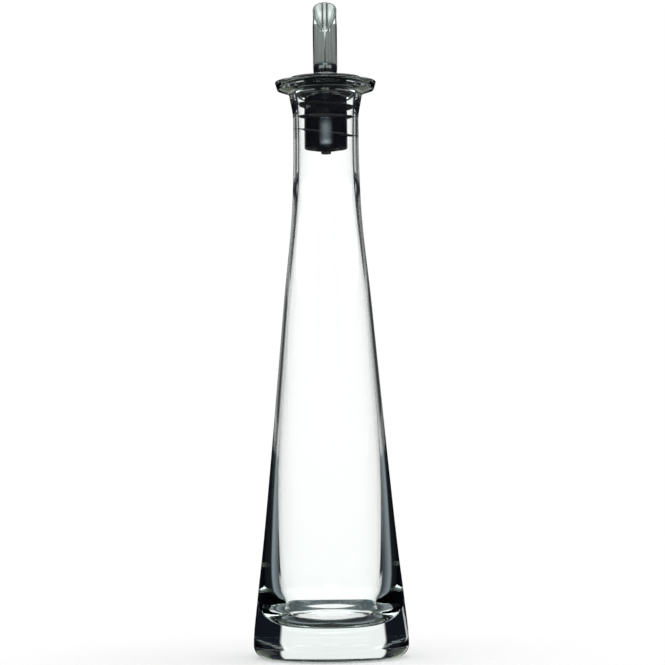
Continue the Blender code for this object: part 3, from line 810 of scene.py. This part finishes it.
class OILBOTTLE_OT_make_rings(bpy.types.Operator):
    """Make the four rubber rings that seal the stopper in the neck"""

    bl_idname = "oil_bottle.make_rings"
    bl_label = "Make sealing rings"

    def execute(self, context):
        size = context.scene.oil_bottle_stopper
        inside = glass_curves(context.scene.oil_bottle_glass)[1]
        material = plain_material("black_rubber", size.rubber_colour, **RUBBER_FINISH)
        core_length = size.seat_height - CORE_LOW.z
        for number, level_share in enumerate(RING_LEVEL_SHARES):
            tilt = radians(RING_TILTS_DEG[number])
            level = size.seat_height - core_length * level_share
            hole_radius = size.core_radius - size.ring_bite
            outline = ring_outline(size, hole_radius, inside(level) + size.ring_bite)
            piece = turn_on_lathe(f"rubber_ring_{number + 1}", outline, STOPPER_SEGMENTS)
            piece.location = (0, 0, level)
            piece.scale = (1 / cos(tilt), 1, 1)
            piece.rotation_euler = (0, -tilt, radians(RING_HIGH_SIDES_DEG[number]))
            bpy.ops.object.transform_apply(location=True, rotation=True, scale=True)
            settle(piece, "rings", material, "ring", f"sealing_ring_{number + 1}")
        return {"FINISHED"}


class OILBOTTLE_OT_make_spout(bpy.types.Operator):
    """Make the rolled steel spout with its slanted mouth, notch and seam"""

    bl_idname = "oil_bottle.make_spout"
    bl_label = "Make spout"

    def execute(self, context):
        size = context.scene.oil_bottle_spout
        stopper = context.scene.oil_bottle_stopper
        plate_top = stopper.seat_height + stopper.plate_thickness
        outline = spout_side(size, plate_top, 0)
        outline += list(reversed(spout_side(size, plate_top, size.wall)))
        outline.append(outline[0])
        piece = turn_on_lathe("steel_spout", outline, SPOUT_SEGMENTS)

        back, front = radians(LIP_BACK_SLOPE_DEG), radians(LIP_FRONT_SLOPE_DEG)
        cut_radius = 2 * size.radius / (sin(front) - sin(back))
        half_width = size.radius + CUT_OVERRUN
        high = size.tip + 2 * CUT_OVERRUN
        points = [(-half_width, half_width, high)]
        points.append((-half_width, half_width, size.tip + CUT_OVERRUN * tan(back)))
        for slope in levels(back, front, LIP_STEPS):
            across = size.radius - cut_radius * (sin(slope) - sin(back))
            points.append((-half_width, across, size.tip - cut_radius * (cos(back) - cos(slope))))
        rim = points[-1][2]
        points.append((-half_width, -half_width, rim - CUT_OVERRUN * tan(front)))
        points.append((-half_width, -half_width, high))
        cut(piece, make_cutter("lip_cutter", points, (2 * half_width, 0, 0)))

        seam_half, notch_half = size.seam_width / 2, size.notch_width / 2
        sides = [
            (seam_half, plate_top + FIT_GAP + size.shoulder),
            (seam_half, rim - size.notch_depth),
            (notch_half, rim),
            (notch_half, rim + CUT_OVERRUN),
        ]
        points = [(x, -half_width, z) for x, z in sides]
        points += [(-x, -half_width, z) for x, z in reversed(sides)]
        reach = half_width - size.radius + size.stem_step + 2 * size.wall
        cut(piece, make_cutter("seam_cutter", points, (0, reach, 0)))
        bpy.ops.object.shade_smooth_by_angle(angle=radians(SMOOTH_ANGLE_DEG))
        settle(piece, "stopper", spout_material(size), "spout", "spout_tube")
        return {"FINISHED"}


class OILBOTTLE_OT_finish_air_parts(bpy.types.Operator):
    """Give the air tube and its holder their finish"""

    bl_idname = "oil_bottle.finish_air_parts"
    bl_label = "Finish air tube and holder"

    def execute(self, context):
        size = context.scene.oil_bottle_spout
        tube_steel = plain_material("drawn_steel", size.tube_colour, **AIR_TUBE_FINISH)
        holder_plastic = plain_material("holder_plastic", size.holder_colour, **HOLDER_FINISH)
        for node, material in (("air_tube", tube_steel), ("air_tube_holder", holder_plastic)):
            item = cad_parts[node]
            item.data.materials.clear()
            item.data.materials.append(material)
        return {"FINISHED"}


class OILBOTTLE_OT_set_stage(bpy.types.Operator):
    """Set the floor, the studio and the camera"""

    bl_idname = "oil_bottle.set_stage"
    bl_label = "Set stage"

    def execute(self, context):
        look = context.scene.oil_bottle_stage
        make_floor(look)
        make_studio(look)
        make_lamp()
        make_camera(look)
        context.scene.view_settings.view_transform = "Standard"
        return {"FINISHED"}


def make_floor(look):
    """A pale floor that keeps the bottle's shadow and fades to plain white further out."""
    deselect_all()
    bpy.ops.mesh.primitive_circle_add(
        vertices=FLOOR_SEGMENTS, radius=look.floor_radius, fill_type="NGON", location=(0, 0, -FLOOR_DROP)
    )
    floor = bpy.context.active_object
    floor.name = "floor"
    material, tree, output = new_material("pale_floor")
    place = add_node(tree, "ShaderNodeTexCoord").outputs["Object"]
    distance = add_node(tree, "ShaderNodeVectorMath", {0: place}, operation="LENGTH").outputs["Value"]
    away = add_step(tree, distance, look.shadow_reach / 2, look.shadow_reach)
    light_path = add_node(tree, "ShaderNodeLightPath").outputs
    lit = add_node(tree, "ShaderNodeBsdfDiffuse", {"Color": (*look.floor_colour, 1.0)}).outputs["BSDF"]
    glow = add_node(tree, "ShaderNodeEmission", {"Color": (*WHITE, 1.0), "Strength": 1.0}).outputs[0]
    faded = add_node(tree, "ShaderNodeMixShader", {0: away, 1: lit, 2: glow}).outputs[0]
    lit_only = add_math(tree, "MAXIMUM", light_path["Is Diffuse Ray"], light_path["Is Shadow Ray"])
    both = add_node(tree, "ShaderNodeMixShader", {0: lit_only, 1: faded, 2: lit}).outputs[0]
    tree.links.new(both, output.inputs["Surface"])
    floor.data.materials.append(material)
    floor.visible_transmission = False
    floor.visible_glossy = False


class StudioRays:
    """Node values of the world: where a ray leaves to, and how it got there."""

    def __init__(self, tree):
        self.tree = tree
        self.path = add_node(tree, "ShaderNodeLightPath").outputs
        direction = add_node(tree, "ShaderNodeTexCoord").outputs["Generated"]
        parts = add_node(tree, "ShaderNodeSeparateXYZ", {"Vector": direction}).outputs
        self.elevation = add_math(tree, "ARCSINE", parts["Z"])
        bearing = add_math(tree, "ARCTAN2", parts["X"], parts["Y"])
        self.bearing_deg = add_math(tree, "MULTIPLY", bearing, degrees(1.0))
        self.off_back = add_math(tree, "ABSOLUTE", self.bearing_deg)
        self.off_front = add_math(tree, "SUBTRACT", 180.0, self.off_back)
        self.off_surface = add_math(tree, "SUBTRACT", 1.0, self.path["Is Transmission Ray"])

    def above(self, span_deg):
        """1 above a span of elevation, and 0 below it."""
        return add_step(self.tree, self.elevation, *map(radians, span_deg))

    def below(self, span_deg):
        """1 below a span of elevation, and 0 above it."""
        return add_step(self.tree, self.elevation, *map(radians, span_deg), 1.0, 0.0)

    def within(self, angle, reach_deg):
        """1 while an angle is inside a half width, with soft ends."""
        half_width, softness = reach_deg
        return add_step(self.tree, angle, half_width - softness, half_width + softness, 1.0, 0.0)

    def all_of(self, first, *others):
        """The product of several factors."""
        for factor in others:
            first = add_math(self.tree, "MULTIPLY", first, factor)
        return first

    def mix(self, factor, first, second):
        """A colour a share of the way from the first to the second."""
        return add_mix(self.tree, factor, first, second)


def light_through_glass(rays, look):
    """What a ray sees that has only passed through glass."""
    seen = look.side_colour
    for middle, half_width in BACKDROPS_DEG:
        off = add_math(rays.tree, "SUBTRACT", rays.bearing_deg, middle)
        off = add_math(rays.tree, "ABSOLUTE", off)
        inside = rays.within(off, (half_width, BACKDROP_SOFTNESS_DEG))
        seen = rays.mix(inside, seen, look.backdrop_colour)
    seen = rays.mix(rays.below(PALE_FLOOR_DEG), seen, look.backdrop_colour)
    seen = rays.mix(rays.below(STEEP_FLOOR_DEG), seen, look.steep_colour)
    return rays.mix(rays.above(BACKDROP_TOP_DEG), seen, look.side_colour)


def light_mirrored_once(rays, look):
    """What a ray sees that was mirrored once: behind, on the table, in front and above."""
    edges = rays.mix(add_curve(rays.tree, rays.bearing_deg, EDGE_LIGHT), BLACK, WHITE)
    edges = rays.mix(rays.within(rays.off_back, EDGES_REACH_DEG), look.side_colour, edges)
    table = rays.mix(add_curve(rays.tree, rays.bearing_deg, TABLE_LIGHT), BLACK, look.table_colour)
    seen = rays.mix(rays.above(TABLE_EDGE_DEG), table, edges)

    plain_front = rays.mix(rays.off_surface, look.low_front_colour, look.front_colour)
    in_window = rays.within(rays.off_front, WINDOW_REACH_DEG)
    window = rays.all_of(rays.above(WINDOW_FOOT_DEG), rays.below(WINDOW_TOP_DEG), in_window)
    front = rays.mix(window, look.low_front_colour, look.window_colour)
    front = rays.mix(rays.below(PLAIN_FRONT_TOP_DEG), front, plain_front)
    front = rays.mix(rays.below(FRONT_FOOT_DEG), front, look.low_front_colour)
    seen = rays.mix(rays.within(rays.off_front, LOW_FRONT_REACH_DEG), seen, front)
    in_front = rays.within(rays.off_front, HIGH_FRONT_REACH_DEG)
    shade = rays.mix(in_front, look.side_colour, plain_front)
    seen = rays.mix(rays.above(SHADE_FOOT_DEG), seen, shade)
    around = rays.mix(in_front, edges, plain_front)
    strip = rays.all_of(rays.above(STRIP_FOOT_DEG), rays.below(STRIP_TOP_DEG))
    seen = rays.mix(strip, seen, around)
    seen = rays.mix(rays.above(SHADE_TOP_DEG), seen, around)

    behind = rays.within(rays.off_back, GRAZED_REACH_DEG)
    grazed = rays.all_of(rays.off_surface, behind, rays.below(GRAZED_TOP_DEG))
    seen = rays.mix(grazed, seen, look.side_colour)
    on_paper = rays.within(rays.off_back, PAPER_REACH_DEG)
    paper = rays.all_of(rays.above(PAPER_FOOT_DEG), rays.below(PAPER_TOP_DEG), on_paper, rays.off_surface)
    seen = rays.mix(paper, seen, look.paper_colour)

    overhead = rays.within(rays.off_front, SOFTBOX_REACH_DEG)
    overhead = rays.mix(overhead, look.side_colour, look.softbox_colour)
    gap = rays.within(rays.off_front, SOFTBOX_GAP_REACH_DEG)
    overhead = rays.mix(gap, overhead, look.side_colour)
    front_softbox = rays.within(rays.off_front, FRONT_SOFTBOX_REACH_DEG)
    overhead = rays.mix(front_softbox, overhead, look.softbox_colour)
    seen = rays.mix(rays.above(SOFTBOX_FOOT_DEG), seen, overhead)
    return rays.mix(rays.above(CEILING_DEG), seen, CEILING_COLOUR)


def light_mirrored_often(rays, look):
    """What a ray sees that was mirrored twice or more."""
    steepness = add_math(rays.tree, "MULTIPLY", rays.elevation, degrees(1.0))
    steepness = add_math(rays.tree, "ABSOLUTE", steepness)
    band = rays.all_of(
        rays.within(rays.off_back, INNER_BAND_REACH_DEG),
        rays.within(steepness, INNER_BAND_SLOPE_DEG),
        add_step(rays.tree, steepness, *INNER_BAND_START_DEG),
    )
    seen = rays.mix(band, look.inner_colour, WHITE)
    in_softbox = rays.within(rays.off_front, INNER_SOFTBOX_REACH_DEG)
    softbox = rays.all_of(in_softbox, rays.above(INNER_SOFTBOX_FOOT_DEG))
    return rays.mix(softbox, seen, look.softbox_colour)


def make_studio(look):
    """The world: white behind the bottle, and a studio whose light differs by how a ray got there."""
    world = bpy.data.worlds.new("studio")
    bpy.context.scene.world = world
    world.use_nodes = True
    tree = world.node_tree
    tree.nodes.clear()
    rays = StudioRays(tree)
    mirrored = add_math(tree, "GREATER_THAN", rays.path["Glossy Depth"], 0.5)
    often = add_math(tree, "GREATER_THAN", rays.path["Glossy Depth"], 1.5)
    seen = rays.mix(mirrored, light_through_glass(rays, look), light_mirrored_once(rays, look))
    seen = rays.mix(often, seen, light_mirrored_often(rays, look))
    seen = rays.mix(rays.path["Is Camera Ray"], seen, WHITE)
    seen = rays.mix(rays.path["Is Diffuse Ray"], seen, FILL_COLOUR)
    background = add_node(tree, "ShaderNodeBackground", {"Color": seen, "Strength": 1.0})
    output = add_node(tree, "ShaderNodeOutputWorld")
    tree.links.new(background.outputs["Background"], output.inputs["Surface"])


def make_lamp():
    """A broad soft lamp above the bottle."""
    data = bpy.data.lights.new("overhead_softbox", "AREA")
    data.shape = "RECTANGLE"
    data.size = data.size_y = LAMP_WIDTH
    data.energy = LAMP_POWER
    lamp = bpy.data.objects.new("overhead_softbox", data)
    lamp.location = LAMP_PLACE
    lamp.rotation_euler = (Vector(LAMP_AIM) - Vector(LAMP_PLACE)).to_track_quat("-Z", "Y").to_euler()
    lamp.visible_camera = False
    lamp.visible_transmission = False
    bpy.context.scene.collection.objects.link(lamp)


def make_camera(look):
    """The camera of the photograph: a long lens, a little above the base and tilted up."""
    data = bpy.data.cameras.new("camera")
    data.lens = look.focal_length
    data.sensor_width = CAMERA_SENSOR_WIDTH_MM
    data.clip_start = CAMERA_CLIP_START
    camera = bpy.data.objects.new("camera", data)
    yaw = Matrix.Rotation(radians(CAMERA_YAW_DEG), 4, "Z")
    pitch = Matrix.Rotation(radians(90.0 + CAMERA_PITCH_DEG), 4, "X")
    roll = Matrix.Rotation(radians(CAMERA_ROLL_DEG), 4, "Z")
    place = Matrix.Translation((0.0, -look.camera_distance, look.camera_height))
    camera.matrix_world = place @ yaw @ pitch @ roll
    bpy.context.scene.collection.objects.link(camera)
    bpy.context.scene.camera = camera


class OILBOTTLE_PT_panel(bpy.types.Panel):
    """Lists the bottle's sizes, colours and makers"""

    bl_label = "Oil bottle"
    bl_idname = "OILBOTTLE_PT_panel"
    bl_space_type = "VIEW_3D"
    bl_region_type = "UI"
    bl_category = "Oil bottle"

    def draw(self, context):
        for group, _ in SETTINGS:
            box = self.layout.box()
            settings = getattr(context.scene, group)
            for name in settings.__annotations__:
                box.prop(settings, name)
        for operator in OPERATORS:
            self.layout.operator(operator.bl_idname)


SETTINGS = (
    ("oil_bottle_glass", GlassSettings),
    ("oil_bottle_stopper", StopperSettings),
    ("oil_bottle_spout", SpoutSettings),
    ("oil_bottle_stage", StageSettings),
)
OPERATORS = (
    OILBOTTLE_OT_set_stage,
    OILBOTTLE_OT_make_glass,
    OILBOTTLE_OT_make_core,
    OILBOTTLE_OT_make_rings,
    OILBOTTLE_OT_make_spout,
    OILBOTTLE_OT_finish_air_parts,
)


def register():
    """Register the settings, operators and panel."""
    for name, group in SETTINGS:
        bpy.utils.register_class(group)
        setattr(bpy.types.Scene, name, bpy.props.PointerProperty(type=group))
    for item in (*OPERATORS, OILBOTTLE_PT_panel):
        bpy.utils.register_class(item)


def unregister():
    """Take the panel, operators and settings away again."""
    for item in reversed((*OPERATORS, OILBOTTLE_PT_panel)):
        bpy.utils.unregister_class(item)
    for name, group in reversed(SETTINGS):
        delattr(bpy.types.Scene, name)
        bpy.utils.unregister_class(group)


def main():
    """Make the stage and every piece."""
    register()
    bpy.ops.oil_bottle.set_stage()
    bpy.ops.oil_bottle.make_glass()
    bpy.ops.oil_bottle.make_core()
    bpy.ops.oil_bottle.make_rings()
    bpy.ops.oil_bottle.make_spout()
    bpy.ops.oil_bottle.finish_air_parts()


if __name__ == "__main__":
    main()
